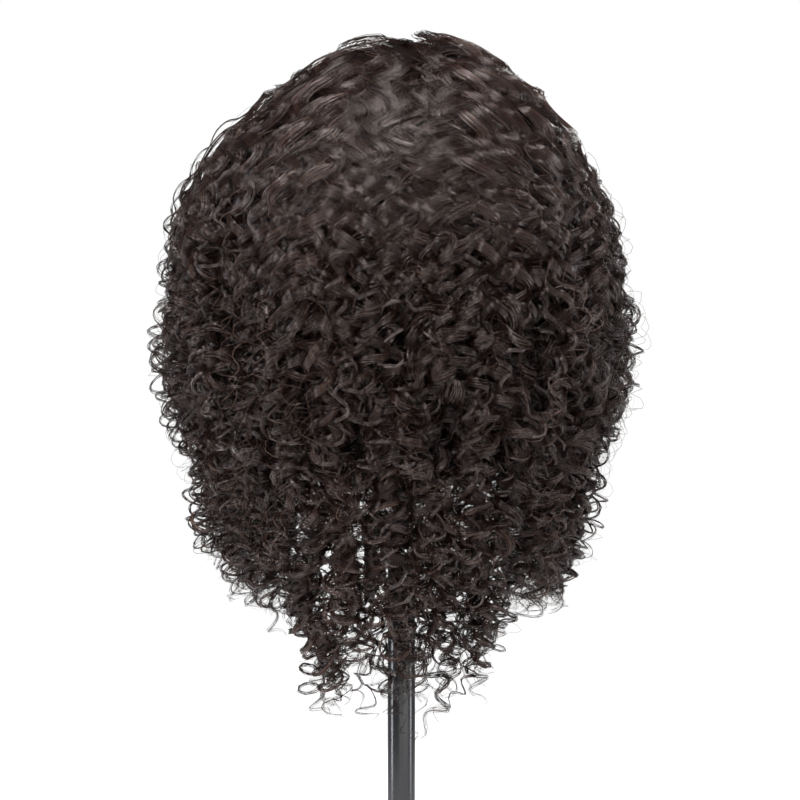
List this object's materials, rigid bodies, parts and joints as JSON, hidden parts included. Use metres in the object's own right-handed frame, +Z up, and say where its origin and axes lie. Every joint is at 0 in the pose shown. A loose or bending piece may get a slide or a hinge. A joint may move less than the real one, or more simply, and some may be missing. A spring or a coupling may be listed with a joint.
{
  "type": "mannequin training head on stand",
  "caption": "Hairdresser's training head with long curly dark hair, on a folding, height-adjustable table stand with a tilt joint.",
  "frame": {"origin": "centre of the base pad's underside, on the table", "axes": "+Z up along the column, -Y the way the face looks, +X the head's own left"},
  "size_m": [0.3562, 0.3614, 0.768],
  "materials": {
    "base_pad": "matte black rubber",
    "foot": "matte black rubber",
    "cast_hub": "black powder coat",
    "tube": "satin black paint",
    "steel": "zinc plated",
    "plastic": "black moulded plastic",
    "nylon": "natural nylon",
    "bracket": "black powder coat",
    "friction": "brown fibre",
    "sleeve": "black rubber",
    "skin": "soft vinyl, matt",
    "foam": "rigid foam",
    "eye": "glossy",
    "lash": "fine fibres",
    "hair": "dark brown curls"
  },
  "bodies": {
    "stand_base": {"base_pad": "base_pad", "leg_hub": "cast_hub", "hub_screw": "steel", "leg_pin_1": "steel", "leg_pin_2": "steel", "leg_pin_3": "steel", "outer_tube": "tube", "height_collar": "plastic", "clamp_shoe": "nylon"},
    "fold_leg_1": {"leg_1": "tube", "foot_1": "foot"},
    "fold_leg_2": {"leg_2": "tube", "foot_2": "foot"},
    "fold_leg_3": {"leg_3": "tube", "foot_3": "foot"},
    "slider": {"guide_bush": "nylon"},
    "pole": {"inner_tube": "tube", "tilt_clevis": "bracket", "friction_washer_left": "friction", "friction_washer_right": "friction", "pivot_bolt": "steel"},
    "lock_lever": {"tilt_lever": "plastic"},
    "clamp_knob": {"height_knob": "plastic"},
    "head": {"peg_screw": "steel", "plug_screw_left": "steel", "plug_screw_back": "steel", "plug_screw_right": "steel", "peg": "plastic", "neck_plug": "plastic", "tilt_arm": "bracket", "socket_sleeve": "sleeve", "head_shell": "skin", "foam_core": "foam", "eye_left": "eye", "eye_right": "eye", "eyelashes_left": "lash", "eyelashes_right": "lash", "hair_crown": "hair", "hair_fringe_left": "hair", "hair_fringe_right": "hair", "hair_side_left": "hair", "hair_side_right": "hair", "hair_back_left": "hair", "hair_back_right": "hair", "hair_ends_left": "hair", "hair_ends_right": "hair", "hair_ends_back": "hair"}
  },
  "joints": [
    {"name": "leg_fold_1", "type": "hinge", "parent": "stand_base", "child": "fold_leg_1", "pos_m": [0, -0.034, 0.038], "axis": [-1, 0, 0], "range_deg": [0, 98]},
    {"name": "leg_fold_2", "type": "hinge", "parent": "stand_base", "child": "fold_leg_2", "pos_m": [0.02944, 0.017, 0.038], "axis": [0.5, -0.866, 0], "range_deg": [0, 98]},
    {"name": "leg_fold_3", "type": "hinge", "parent": "stand_base", "child": "fold_leg_3", "pos_m": [-0.02944, 0.017, 0.038], "axis": [0.5, 0.866, 0], "range_deg": [0, 98]},
    {"name": "column_slide", "type": "slide", "parent": "stand_base", "child": "slider", "axis": [0, 0, 1], "range_m": [-0.05, 0.05]},
    {"name": "column_swivel", "type": "hinge", "parent": "slider", "child": "pole", "pos_m": [0, 0, 0.1], "axis": [0, 0, 1], "continuous": true},
    {"name": "head_tilt", "type": "hinge", "parent": "pole", "child": "head", "pos_m": [0, 0, 0.41], "axis": [1, 0, 0], "range_deg": [-15, 50]},
    {"name": "lever_turn", "type": "hinge", "parent": "pole", "child": "lock_lever", "pos_m": [0.0225, 0, 0.41], "axis": [1, 0, 0], "range_deg": [-60, 60]},
    {"name": "knob_turn", "type": "hinge", "parent": "stand_base", "child": "clamp_knob", "pos_m": [0.02598, -0.015, 0.189], "axis": [0.866, -0.5, 0], "range_deg": [0, 360]}
  ]
}
